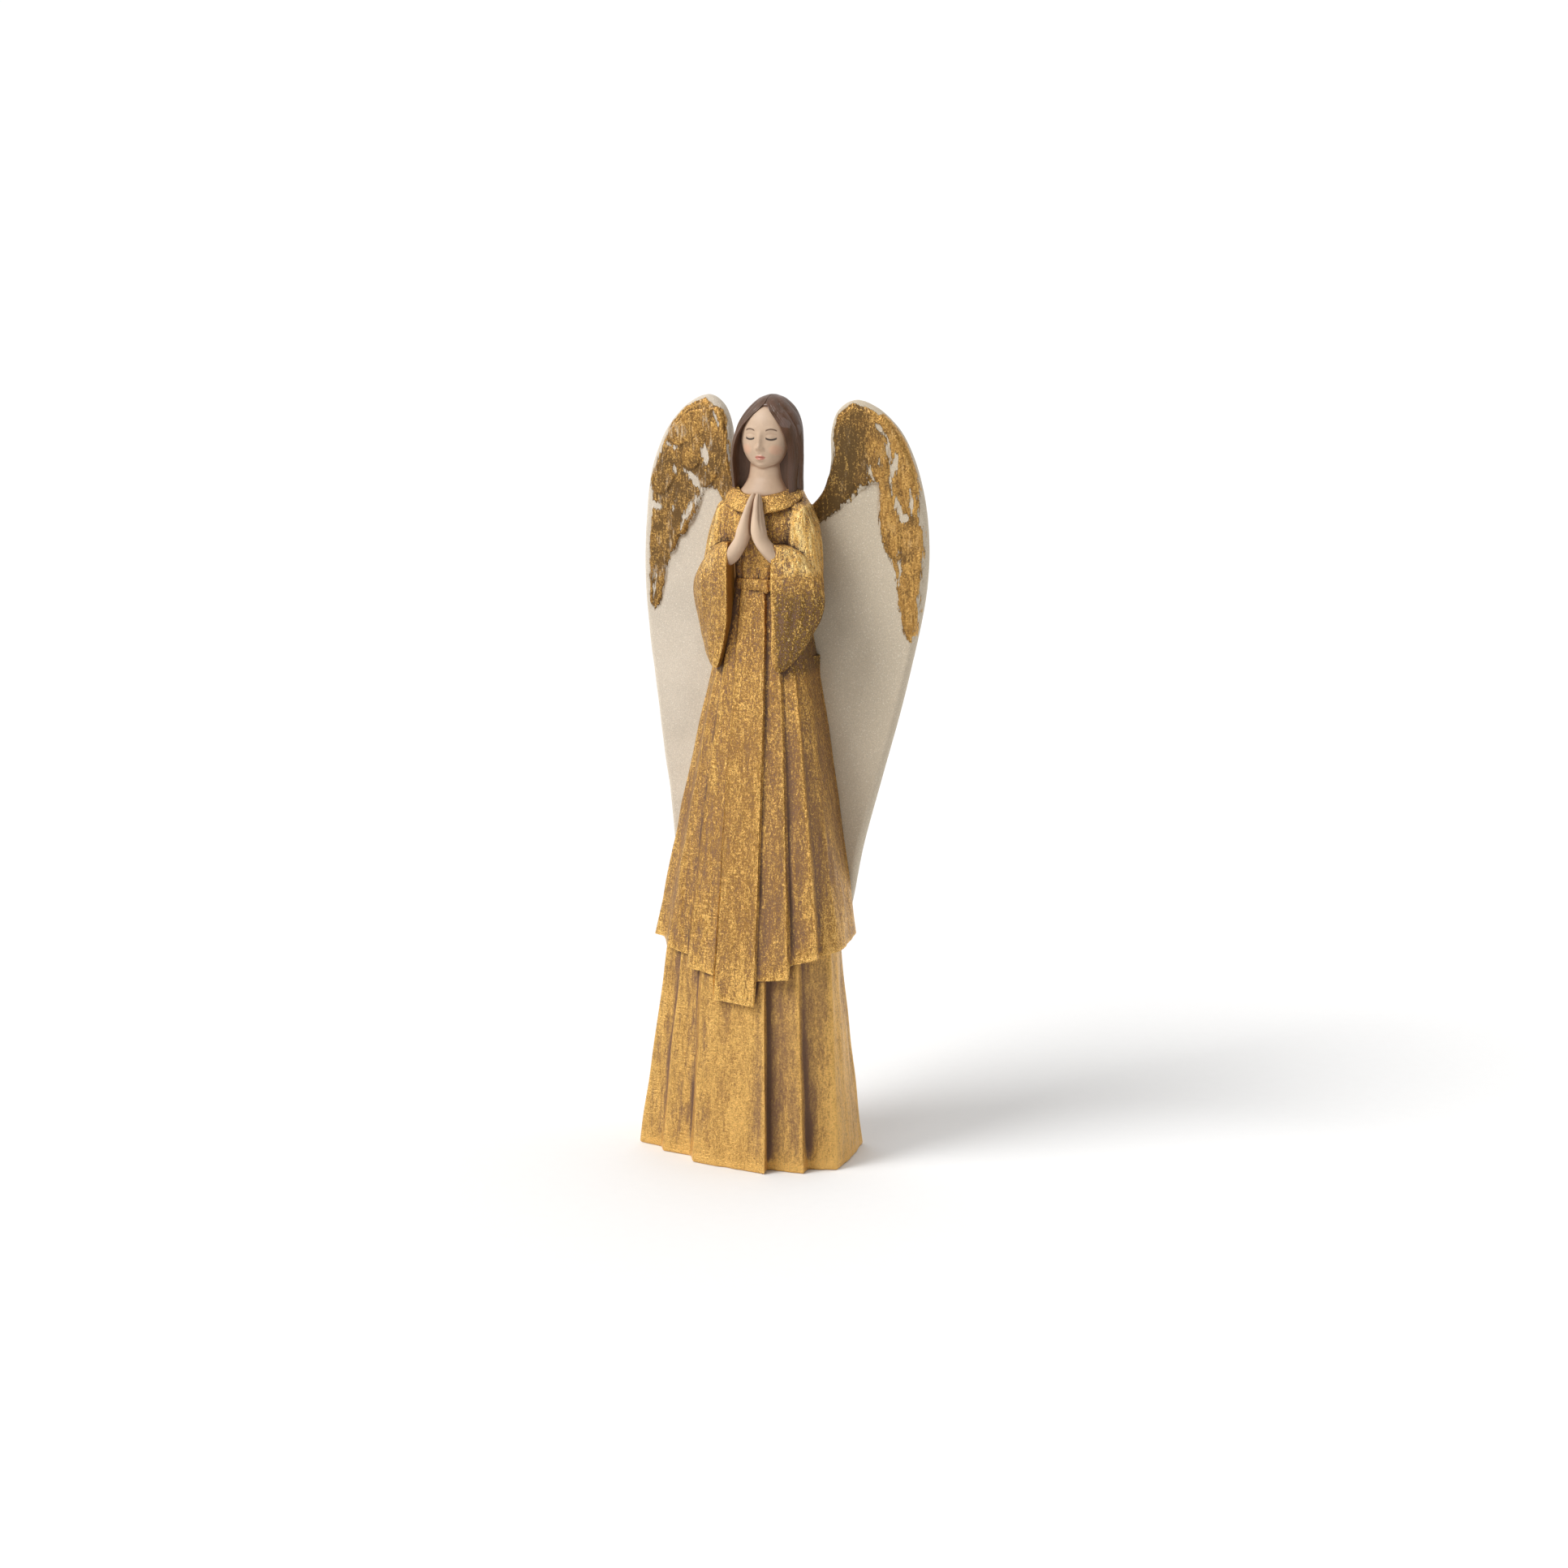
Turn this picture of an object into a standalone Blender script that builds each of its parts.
"""Praying angel figurine, cast in resin and painted, with two wings fixed to its back.

The figure is one casting: a pleated underskirt, a pleated tunic with a stepped hem, a belt,
two bell sleeves, a collar, a pair of praying hands, and a head with long hair. Each wing is a
second casting, a flat plate with raised feathers, seated against the flat back of the gown.

The figure faces -Y, its own left hand is on the +X side, and it stands on z = 0.
Lengths below are in millimetres, and every mesh is scaled to metres as it is made.
"""
import bpy
import bmesh
import numpy as np
from math import atan, cos, pi, sin

MM = 0.001

# Whole figure
FIGURE_HEIGHT = 400.0
CENTRE = (-0.33, 0.74)           # middle of the plan in the figure's own working axes
BACK_PLANE = 22.4                # flat back of the gown at the middle
WING_SWEEP = 0.1                 # how far the back and the wings go back per millimetre sideways
SEAT_GAP = 0.35                  # glue line between the gown and a wing

# Underskirt: x and y of each pleat corner on the ground, then at its top inside the tunic
UNDERSKIRT_TOP = 118.0
FOOT_CHAMFER = 1.6
UNDERSKIRT = (
    (-58.0, 30.0, -44.0, 19.0), (-60.0, 5.0, -46.6, 3.0), (-61.0, -19.0, -46.0, -12.3),
    (-46.5, -21.0, -36.5, -14.0), (-43.4, -26.6, -35.2, -17.2), (-26.5, -27.4, -23.6, -17.6),
    (-21.8, -35.2, -20.4, -21.6), (21.6, -36.4, 14.6, -22.0), (20.3, -29.6, 14.8, -17.6),
    (39.3, -26.6, 31.0, -16.6), (39.0, -19.6, 31.2, -12.4), (53.4, -14.0, 43.2, -2.0),
    (53.8, 2.0, 42.8, 6.0), (49.5, 30.0, 40.0, 19.0), (27.0, 34.6, 22.0, 20.4),
    (24.0, 32.2, 20.0, 18.6), (-24.0, 32.2, -20.0, 18.6), (-28.0, 34.6, -22.0, 20.4),
)

# Tunic: waist x and y, hem x, y and z, and how early the pleat spreads on its way down
WAIST_TOP = 304.0
TUNIC = (
    (-14.0, 30.0, -48.5, 30.0, 117.0, 0.85),
    (-15.0, 12.0, -55.0, 9.0, 115.0, 0.85),
    (-14.5, 5.5, -57.6, -6.5, 114.0, 0.85),
    (-13.5, 4.2, -50.0, -9.5, 114.0, 0.85),
    (-13.0, 2.6, -45.0, -17.0, 111.0, 0.85),
    (-11.4, 1.6, -31.0, -19.5, 109.0, 0.75),
    (-11.0, 0.2, -29.4, -23.6, 103.5, 0.75),
    (-8.0, -0.6, -12.6, -26.4, 101.5, 0.50),
    (-7.4, -1.8, -11.2, -29.2, 89.0, 0.50),
    (4.2, -2.0, 11.4, -29.4, 88.0, 0.50),
    (4.8, -0.2, 11.8, -25.6, 101.0, 0.50),
    (9.4, 0.2, 28.6, -24.0, 103.0, 0.75),
    (9.8, 1.8, 29.2, -20.2, 110.0, 0.75),
    (13.2, 2.8, 42.6, -17.6, 114.0, 0.80),
    (13.4, 4.6, 41.8, -12.2, 114.5, 0.80),
    (15.6, 7.4, 48.0, -3.4, 115.5, 0.85),
    (15.8, 10.0, 48.8, 1.6, 116.0, 0.85),
    (14.5, 30.0, 45.6, 30.0, 118.0, 0.85), (0.0, 30.0, 0.0, 30.0, 117.6, 1.00),
)

# Bodice: height, half width, front y; its round back is cut flat on the back plane
BODICE_BACK = 25.0
BODICE = (
    (298.0, 14.5, -1.0), (308.0, 15.5, -2.4), (322.0, 19.0, -2.4), (334.0, 23.0, -1.6),
    (341.0, 24.5, -0.4), (346.0, 22.5, 2.0), (350.5, 17.5, 6.0), (353.0, 12.0, 9.0),
)

# Belt: lower edge, upper edge, how far it stands proud
BELT = (301.4, 307.4, 1.3)
BELT_HALF = 15.4
BELT_FRONT = -2.0

# Upper arm: height, inner x, outer x, middle y, half depth
UPPER_ARM = (
    (349.0, 15.6, 19.6, 11.6, 3.4), (347.6, 13.0, 23.0, 11.5, 6.6), (343.0, 12.0, 26.5, 11.0, 9.0),
    (332.0, 17.0, 29.5, 9.5, 9.2), (320.0, 19.0, 31.4, 8.6, 9.2), (309.0, 20.5, 33.0, 7.6, 8.6),
    (298.0, 21.0, 33.4, 6.6, 8.0), (288.0, 21.0, 31.0, 6.0, 6.0), (281.0, 20.0, 28.0, 5.0, 4.0),
)

# Bell sleeve: height, inner x, outer x, front y and back y of the open end, lean of the far side
BELL = (
    (323.4, 13.6, 18.0, -8.0, -3.4, 2.0), (320.5, 13.0, 24.0, -9.4, -0.6, 4.5),
    (315.0, 12.4, 29.6, -10.4, 1.0, 5.0), (308.0, 12.2, 34.8, -10.8, 2.0, 5.5),
    (300.0, 12.2, 36.7, -10.6, 2.4, 6.0), (291.0, 12.4, 35.6, -10.0, 2.6, 6.0),
    (281.0, 12.8, 32.4, -9.4, 2.2, 5.0), (271.5, 13.6, 28.2, -8.6, 1.6, 3.5),
    (264.5, 15.0, 23.8, -8.0, 0.4, 1.5), (260.6, 16.8, 20.2, -7.2, -2.6, 0.5),
)
BELL_HOLLOW = 2.6                # depth of the hollow in the open end of a sleeve
BELL_WALL = 1.7

# Hands: middle x, y and z of each section, half thickness and half breadth, wrist to fingertips
HAND_LEAN = 0.9                  # both hands lean this far to the figure's left
HAND = (
    (17.0, -3.5, 314.0, 3.6, 3.8), (11.8, -6.2, 317.0, 4.2, 4.2), (7.4, -8.0, 322.0, 4.1, 4.6),
    (4.3, -8.4, 328.5, 3.8, 4.9), (3.2, -7.6, 335.0, 3.2, 4.7), (2.6, -6.0, 341.5, 2.7, 4.1),
    (2.0, -4.4, 347.0, 2.1, 3.1), (1.5, -3.2, 350.6, 1.5, 2.0), (1.3, -2.8, 352.0, 0.8, 1.1),
)

# Collar: half width, front y, back y, height at the front, the side and the back
COLLAR_INNER = (15.4, 0.2, 24.6, 349.6, 354.0, 356.0)
COLLAR_OUTER = (21.4, -4.2, 24.6, 341.4, 350.2, 353.0)
COLLAR_THICKNESS = 2.2

# Neck: height, half width, front y, back y
NECK = (
    (345.0, 15.0, 1.6, 20.0), (350.4, 13.0, 1.6, 21.0), (354.0, 10.4, 4.2, 20.6),
    (359.0, 9.2, 6.0, 20.4), (366.0, 8.8, 6.6, 20.4), (372.0, 8.8, 8.0, 20.4),
)

# Head: middle y and z, half width, half depth and half height of the skull, then the chin
SKULL = (14.2, 378.2, 14.0, 11.0, 15.4)
CHIN_FORWARD = 2.4               # how far the jaw comes forward of the egg
CHIN_NARROW = 0.26
JAW_FULLNESS = 0.8               # under 1 keeps the cheeks full before they turn in to the chin
NOSE = (374.2, 2.0, 1.9, 6.4)    # height of its tip, half width, length proud, height of the bridge

# Hair: height, half width, half depth, middle y
HAIR = (
    (351.4, 16.6, 11.6, 14.6), (352.6, 18.0, 12.8, 14.0), (358.0, 19.2, 14.2, 13.0),
    (366.0, 19.6, 14.8, 12.8), (372.0, 19.4, 14.8, 13.2), (378.0, 18.8, 14.6, 14.2),
    (384.0, 17.4, 14.0, 15.9), (389.5, 14.8, 12.6, 17.8), (394.2, 11.2, 10.4, 19.2),
    (397.8, 7.0, 6.8, 19.6), (399.6, 2.8, 2.8, 19.6), (FIGURE_HEIGHT, 0.8, 0.8, 19.6),
)
HAIR_LOCKS = 9                   # broad shallow locks round the head
HAIR_LOCK_DEPTH = 0.35
FACE_OPENING = (                 # half of the opening, from its foot to the parting
    (14.8, 340.0), (15.0, 360.0), (15.4, 370.0), (13.8, 378.0), (10.2, 384.6), (4.8, 391.2),
)
PARTING = 394.2
OPENING_DEPTH = 10.0             # y of the wall at the bottom of the opening

# Block across the back that carries the wings: half width, lower z, upper z, front y
WING_BLOCK = (24.8, 252.0, 266.0, 17.0)

# Wings: outline in front view, from the top round the outer side and back up the inner side
WING_THICKNESS = 7.0
WING_EDGE_ROUND = 1.6
RIGHT_WING = (
    (41.0, 397.2), (51.5, 394.0), (60.5, 387.0), (67.5, 378.0), (74.0, 363.0), (78.6, 344.0),
    (80.5, 324.0), (80.0, 306.0), (77.6, 288.0), (72.6, 264.0), (66.0, 236.0), (56.6, 201.0),
    (47.2, 165.0), (42.0, 137.0), (38.4, 122.5), (31.0, 116.0), (23.0, 120.0), (14.0, 150.0),
    (6.4, 205.0), (4.4, 270.0), (5.0, 322.0), (12.0, 338.0), (20.6, 344.6), (26.4, 353.0),
    (29.0, 366.0), (29.0, 380.0), (32.4, 391.4),
)
LEFT_WING = (
    (-42.4, 398.0), (-54.5, 392.6), (-64.0, 383.4), (-70.6, 373.0), (-76.6, 357.4), (-79.6, 338.0),
    (-81.1, 316.0), (-81.0, 296.0), (-79.0, 272.0), (-75.2, 243.0), (-70.6, 210.0), (-66.0, 180.0),
    (-63.2, 155.0), (-59.0, 136.0), (-49.0, 126.0), (-38.0, 130.0), (-22.0, 160.0),
    (-8.0, 212.0), (-4.4, 270.0), (-5.0, 322.0), (-12.0, 338.0), (-20.6, 345.0), (-25.4, 355.0),
    (-26.8, 368.0), (-28.0, 382.0), (-33.0, 393.0),
)

# Raised gilded feathers on the front of each wing
FEATHER_PROUD = 1.0
RIGHT_FEATHERS = (
    (41.0, 392.6), (50.0, 389.6), (58.4, 382.4), (65.0, 372.8), (70.4, 359.0), (74.6, 343.0),
    (76.8, 326.0), (76.8, 304.0), (75.6, 286.0), (72.8, 274.4), (69.4, 278.6), (67.8, 285.0),
    (66.2, 296.0), (64.6, 309.0), (62.0, 316.4), (58.4, 321.6), (56.4, 329.0), (55.6, 342.0),
    (55.2, 356.0), (50.6, 355.4), (46.4, 352.4), (42.8, 347.6), (37.6, 343.4), (31.0, 338.4),
    (23.0, 333.4), (15.0, 332.8), (13.4, 335.4), (21.6, 341.6), (28.6, 351.0), (31.6, 365.0),
    (31.6, 379.0), (34.4, 388.6),
)
LEFT_FEATHERS = (
    (-42.6, 393.2), (-53.0, 388.6), (-61.4, 380.6), (-67.4, 370.8), (-72.8, 356.4), (-75.8, 338.0),
    (-77.2, 316.0), (-77.2, 298.0), (-76.6, 286.0), (-74.4, 282.6), (-71.8, 285.6), (-68.6, 294.6),
    (-66.0, 305.6), (-63.6, 314.6), (-62.2, 321.2), (-59.4, 321.2), (-56.0, 326.0), (-52.0, 332.6),
    (-47.4, 341.0), (-43.2, 348.0), (-39.2, 350.2), (-34.4, 347.4), (-30.2, 341.0), (-26.0, 334.6),
    (-19.6, 334.6), (-18.0, 337.4), (-25.0, 344.0), (-29.4, 355.0), (-30.8, 368.0), (-32.0, 380.6),
    (-36.0, 389.0),
)

ROUND_STEPS = 28                 # corners of a rounded section

parts = bpy.data.collections.new("praying_angel_figurine")
guides = bpy.data.collections.new("cutting_shapes")


def clear_scene():
    for item in list(bpy.data.objects):
        bpy.data.objects.remove(item, do_unlink=True)
    bpy.context.scene.collection.children.link(parts)
    bpy.context.scene.collection.children.link(guides)


def paint(name, colour, roughness, metallic=0.0):
    material = bpy.data.materials.new(name)
    material.use_nodes = True
    shader = material.node_tree.nodes["Principled BSDF"]
    shader.inputs["Base Color"].default_value = (*colour, 1.0)
    shader.inputs["Roughness"].default_value = roughness
    shader.inputs["Metallic"].default_value = metallic
    return material


def loft(name, rings, material):
    """Closed solid through rings of equal length, each counter-clockwise seen from its far end."""
    mesh = bpy.data.meshes.new(name)
    work = bmesh.new()
    place = np.array((-CENTRE[0], -CENTRE[1], 0.0))
    rows = [[work.verts.new((point + place) * MM) for point in np.asarray(ring)] for ring in rings]
    for low, high in zip(rows, rows[1:]):
        for i in range(len(low)):
            j = (i + 1) % len(low)
            work.faces.new((low[i], low[j], high[j], high[i]))
    for row, turned in ((rows[0], True), (rows[-1], False)):
        middle = work.verts.new(sum((vert.co for vert in row), row[0].co * 0.0) / len(row))
        for i in range(len(row)):
            pair = (row[i], row[(i + 1) % len(row)])
            work.faces.new((*(reversed(pair) if turned else pair), middle))
    bmesh.ops.recalc_face_normals(work, faces=work.faces)
    work.to_mesh(mesh)
    work.free()
    mesh.materials.append(material)
    return add(name, mesh)


def add(name, mesh, collection=None):
    item = bpy.data.objects.new(name, mesh)
    (collection or parts).objects.link(item)
    return item


def oval(height, half_width, front, back, power=2.0, steps=ROUND_STEPS):
    """Level ring: an ellipse, or a squarer one with a higher power, from front y to back y."""
    angle = np.arange(steps) * 2.0 * pi / steps
    x = half_width * np.sign(np.cos(angle)) * np.abs(np.cos(angle)) ** (2.0 / power)
    y = np.sign(np.sin(angle)) * np.abs(np.sin(angle)) ** (2.0 / power)
    y = (front + back) / 2.0 + y * (back - front) / 2.0
    return np.column_stack((x, y, np.full(steps, height)))


def bake(item):
    """Swap an object's mesh for the one its modifiers give."""
    graph = bpy.context.evaluated_depsgraph_get()
    mesh = bpy.data.meshes.new_from_object(item.evaluated_get(graph))
    item.modifiers.clear()
    item.data = mesh
    return item


def combine(target, others, operation="UNION", solver="EXACT"):
    for other in others:
        step = target.modifiers.new(operation.lower(), "BOOLEAN")
        step.operation = operation
        step.solver = solver
        step.object = other
        step.material_mode = "TRANSFER"
        bake(target)
        if operation == "UNION":
            bpy.data.objects.remove(other, do_unlink=True)
        else:
            hide_guide(other)
    return target


def drop_crumbs(item):
    """Delete the tiny pockets that joining leaves where three rounded surfaces nearly meet."""
    work = bmesh.new()
    work.from_mesh(item.data)
    loose, bodies = set(work.verts), []
    while loose:
        body, edge = set(), [loose.pop()]
        while edge:
            vert = edge.pop()
            body.add(vert)
            found = {link.other_vert(vert) for link in vert.link_edges} & loose
            loose -= found
            edge.extend(found)
        bodies.append(body)
    largest = max(bodies, key=len)
    crumbs = [vert for body in bodies if body is not largest for vert in body]
    bmesh.ops.delete(work, geom=crumbs, context="VERTS")
    work.to_mesh(item.data)
    work.free()
    return item


def hide_guide(item):
    for home in list(item.users_collection):
        home.objects.unlink(item)
    guides.objects.link(item)
    item.hide_render = True
    item.display_type = "WIRE"


def flat_back(ring):
    """Cut a ring off on the plane that the wings are seated against."""
    ring[:, 1] = np.minimum(ring[:, 1], BACK_PLANE + WING_SWEEP * np.abs(ring[:, 0]))
    return ring


def underskirt(gold):
    table = np.array(UNDERSKIRT)
    foot, top = table[:, :2], table[:, 2:]
    rings = []
    for height, inset in ((0.0, FOOT_CHAMFER), (FOOT_CHAMFER, 0.0), (UNDERSKIRT_TOP, 0.0)):
        ring = foot + (top - foot) * height / UNDERSKIRT_TOP
        ring = ring * (1.0 - inset / np.abs(foot).max())
        rings.append(np.column_stack((ring, np.full(len(foot), height))))
    return loft("underskirt", rings, gold)


def tunic(gold):
    """Each pleat corner runs from the waist down to its own height on the stepped hem."""
    waist_x, waist_y, hem_x, hem_y, hem_z, spread = np.array(TUNIC).T
    rings = []
    for share in (1.0, 0.8, 0.6, 0.42, 0.26, 0.12, 0.0):
        x = waist_x + (hem_x - waist_x) * share ** spread
        y = waist_y + (hem_y - waist_y) * share
        z = WAIST_TOP + (hem_z - WAIST_TOP) * share
        rings.append(flat_back(np.column_stack((x, y, z))))
    return loft("tunic", rings, gold)


def bodice(gold):
    rings = [flat_back(oval(z, half, front, BODICE_BACK, 2.5)) for z, half, front in BODICE]
    return loft("bodice", rings, gold)


def belt(gold):
    low, high, proud = BELT
    rings = []
    for z, out in ((low, 0.2), (low + 0.8, proud), (high - 0.8, proud), (high, 0.2)):
        rings.append(flat_back(oval(z, BELT_HALF + out, BELT_FRONT - out, BODICE_BACK, 2.5)))
    return loft("belt", rings, gold)


def upper_arm(side, gold):
    rings = []
    for z, inner, outer, middle, half in reversed(UPPER_ARM):
        ring = oval(z, (outer - inner) / 2.0, middle - half, middle + half, 2.2, 20)
        ring[:, 0] += side * (inner + outer) / 2.0
        rings.append(ring)
    return loft("upper_arm", rings, gold)


def bell_ring(side, row, shrink=0.0, push=0.0):
    """D-shaped ring: the open end of the sleeve is its flat, and the far side is its round."""
    z, inner, outer, front, back, lean = row
    angle = np.linspace(-pi / 2.0, pi / 2.0, 13)
    across = np.cos(angle) ** 0.85
    x = inner - push + (outer - inner - shrink) * across
    half = max((back - front) / 2.0 - shrink, 0.4)
    swell = 1.0 + 0.12 * np.sin(pi * across)
    y = (front + back) / 2.0 + half * np.sin(angle) * swell + lean * across
    ring = np.column_stack((side * x, y, np.full(len(x), z)))
    return ring if side > 0 else ring[::-1]


def bell_sleeve(side, gold):
    body = loft("bell_sleeve", [bell_ring(side, row) for row in reversed(BELL)], gold)
    rings = []
    for z, inner, outer, front, back, lean in reversed(BELL[1:-1]):
        row = (z, inner, inner + BELL_HOLLOW, front, back, 0.0)
        ring = bell_ring(side, row, BELL_WALL, 0.0)
        ring[:, 0] = side * np.where(side * ring[:, 0] < inner + 0.01, inner - 2.0, inner + BELL_HOLLOW)
        rings.append(ring)
    hollow = loft("sleeve_hollow", rings, gold)
    return combine(body, [hollow], "DIFFERENCE")


def hand(side, skin):
    """Sections turn from lying across the wrist to lying level at the fingertips."""
    rings = []
    path = np.array([row[:3] for row in HAND])
    along = np.gradient(path, axis=0)
    along /= np.linalg.norm(along, axis=1)[:, None]
    angle = np.arange(16) * 2.0 * pi / 16
    for centre, direction, (half_thick, half_broad) in zip(path, along, [row[3:] for row in HAND]):
        broad = np.array((0.0, 1.0, 0.0)) - direction * direction[1]
        broad /= np.linalg.norm(broad)
        thick = np.cross(broad, direction)
        ring = centre + np.outer(np.cos(angle) * half_thick, thick) + np.outer(np.sin(angle) * half_broad, broad)
        ring[:, 0] = np.maximum(ring[:, 0], 0.0) * side
        ring[:, 0] += HAND_LEAN - 0.05 * side
        rings.append(ring if side > 0 else ring[::-1])
    return loft("hand", rings, skin)


def collar(gold):
    """Ring with a slanting strip as its section, from the neck opening down over the shoulders."""
    steps = 40
    angle = np.arange(steps) * 2.0 * pi / steps

    def edge(half, front, back, low, side, high):
        x = half * np.cos(angle)
        y = (front + back) / 2.0 + np.sin(angle) * (back - front) / 2.0
        rise = np.where(np.sin(angle) < 0.0, side + (side - low) * np.sin(angle),
                        side + (high - side) * np.sin(angle))
        return np.column_stack((x, y, rise))

    inner, outer = edge(*COLLAR_INNER), edge(*COLLAR_OUTER)
    lift = np.array((0.0, 0.0, COLLAR_THICKNESS))
    out = (outer - inner) * (1.0, 1.0, 0.0)
    out /= np.linalg.norm(out, axis=1)[:, None]
    strips = (inner - lift, outer - lift * 0.9, outer + out * 0.5, outer + lift * 0.35, inner + lift * 0.35)
    mesh = bpy.data.meshes.new("collar")
    work = bmesh.new()
    place = np.array((-CENTRE[0], -CENTRE[1], 0.0))
    rows = [[work.verts.new((point + place) * MM) for point in strip] for strip in strips]
    for row, following in zip(rows, rows[1:] + rows[:1]):
        for i in range(steps):
            j = (i + 1) % steps
            work.faces.new((row[i], row[j], following[j], following[i]))
    bmesh.ops.recalc_face_normals(work, faces=work.faces)
    work.to_mesh(mesh)
    work.free()
    mesh.materials.append(gold)
    return add("collar", mesh)


def neck(skin):
    return loft("neck", [oval(z, half, front, back) for z, half, front, back in NECK], skin)


def head(skin):
    """An egg with the lower half drawn in to a jaw and forward to a chin, and a plain nose."""
    middle_y, middle_z, half_width, half_depth, half_height = SKULL
    tip, half_nose, proud, bridge = NOSE
    angle = np.arange(ROUND_STEPS) * 2.0 * pi / ROUND_STEPS
    rings = []
    for rise in np.linspace(-0.5, 0.5, 19)[1:-1] * pi:
        low = max(-sin(rise), 0.0)
        z = middle_z + half_height * sin(rise)
        girth = cos(rise) ** (JAW_FULLNESS if rise < 0.0 else 1.0)
        x = half_width * girth * (1.0 - CHIN_NARROW * low ** 2) * np.cos(angle)
        y = middle_y + half_depth * girth * np.sin(angle)
        forward = np.clip(-np.sin(angle), 0.0, 1.0)
        y = y - CHIN_FORWARD * low ** 1.5 * forward
        along_nose = np.clip((z - tip + 1.6) / 1.6, 0.0, 1.0) * np.clip((tip + bridge - z) / bridge, 0.0, 1.0)
        y = y - proud * along_nose * np.exp(-(x / half_nose) ** 2) * (forward > 0.5)
        rings.append(np.column_stack((x, y, np.full(ROUND_STEPS, z))))
    return loft("head", rings, skin)


def hair(brown):
    rings = []
    steps = 45
    for z, half_width, half_depth, middle in HAIR:
        ring = oval(z, half_width, middle - half_depth, middle + half_depth, 2.1, steps)
        around = np.arange(steps) * 2.0 * pi / steps
        lock = 1.0 - HAIR_LOCK_DEPTH / half_width * np.abs(np.sin(around * HAIR_LOCKS / 2.0 + z * 0.02))
        if half_width > 5.0:
            ring[:, 0] *= lock
        rings.append(ring)
    mass = loft("hair", rings, brown)
    half = [np.array(point) for point in FACE_OPENING]
    outline = [(x, z) for x, z in half] + [(0.0, PARTING)] + [(-x, z) for x, z in reversed(half)]
    cutter = plate("face_opening", outline, OPENING_DEPTH - 30.0, OPENING_DEPTH, brown)
    return combine(mass, [cutter], "DIFFERENCE")


def plate(name, outline, front, back, material):
    """Upright slab with the given front-view outline, between two values of y."""
    rings = []
    for y in (back, front):
        rings.append(np.array([(x, y, z) for x, z in outline]))
    return loft(name, rings, material)


def wing_block(gold):
    half, low, high, front = WING_BLOCK
    outline = ((-half, low), (half, low), (half, high), (-half, high))
    rings = []
    for x in (-half, -0.1, 0.1, half):
        back = BACK_PLANE + WING_SWEEP * abs(x)
        rings.append(np.array(((x, front, low), (x, back, low), (x, back, high), (x, front, high))))
    return loft("wing_block", rings, gold)


def flat_outline(name, outline, thickness, round_edge, material):
    """Rounded slab in the XZ plane from a smooth closed outline, its front on the plane y = 0."""
    curve = bpy.data.curves.new(name, "CURVE")
    curve.dimensions = "2D"
    curve.fill_mode = "BOTH"
    curve.resolution_u = 3
    curve.extrude = (thickness / 2.0 - round_edge) * MM
    curve.bevel_depth = round_edge * MM
    curve.bevel_resolution = 1
    curve.offset = -round_edge * MM
    spline = curve.splines.new("BEZIER")
    spline.bezier_points.add(len(outline) - 1)
    for point, (x, z) in zip(spline.bezier_points, outline):
        point.co = ((x - CENTRE[0]) * MM, z * MM, 0.0)
        point.handle_left_type = "AUTO"
        point.handle_right_type = "AUTO"
    spline.use_cyclic_u = True
    shape = add(name, curve)
    bpy.context.view_layer.update()
    graph = bpy.context.evaluated_depsgraph_get()
    mesh = bpy.data.meshes.new_from_object(shape.evaluated_get(graph))
    bpy.data.objects.remove(shape, do_unlink=True)
    work = bmesh.new()
    work.from_mesh(mesh)
    bmesh.ops.remove_doubles(work, verts=work.verts, dist=0.00001)
    bmesh.ops.recalc_face_normals(work, faces=work.faces)
    work.to_mesh(mesh)
    work.free()
    mesh.materials.clear()
    mesh.materials.append(material)
    return add(name, mesh)


def stand_up(item, front, side):
    """Turn a slab from the curve's XY plane upright, and sweep it back away from the middle."""
    for vert in item.data.vertices:
        x, z, depth = vert.co
        back = (front - CENTRE[1]) * MM + WING_SWEEP * side * (x + CENTRE[0] * MM)
        vert.co = (x, back - depth, z)
    item.data.update()


def wing(side, outline, feathers, cream, gold):
    name = "right_wing" if side > 0 else "left_wing"
    base = flat_outline(name, outline, WING_THICKNESS, WING_EDGE_ROUND, cream)
    stand_up(base, BACK_PLANE + SEAT_GAP + WING_THICKNESS / 2.0, side)
    depth = FEATHER_PROUD + 2.0
    relief = flat_outline("feathers", feathers, depth, 0.35, gold)
    stand_up(relief, BACK_PLANE + SEAT_GAP - FEATHER_PROUD + depth / 2.0, side)
    return combine(base, [relief])


def figure(gold, skin, brown):
    body = tunic(gold)
    body.name = "angel_figure"
    pieces = [underskirt(gold), bodice(gold), belt(gold), wing_block(gold)]
    for side in (-1, 1):
        pieces += [upper_arm(side, gold), bell_sleeve(side, gold)]
    pieces += [collar(gold), neck(skin), head(skin), hair(brown)]
    pieces += [hand(side, skin) for side in (-1, 1)]
    return drop_crumbs(combine(body, pieces, solver="MANIFOLD"))


def build():
    clear_scene()
    gold = paint("gilded_gown", (0.36, 0.21, 0.06), 0.42, 0.55)
    gilding = paint("gilded_feathers", (0.42, 0.25, 0.07), 0.40, 0.60)
    skin = paint("painted_skin", (0.72, 0.56, 0.44), 0.60)
    brown = paint("painted_hair", (0.075, 0.035, 0.025), 0.38)
    cream = paint("cream_wing", (0.72, 0.67, 0.58), 0.62)
    figure(gold, skin, brown)
    wing(-1, LEFT_WING, LEFT_FEATHERS, cream, gilding)
    wing(1, RIGHT_WING, RIGHT_FEATHERS, cream, gilding)
    for item in parts.objects:
        item.data.set_sharp_from_angle(angle=atan(0.6))
        item.data.shade_smooth()


build()
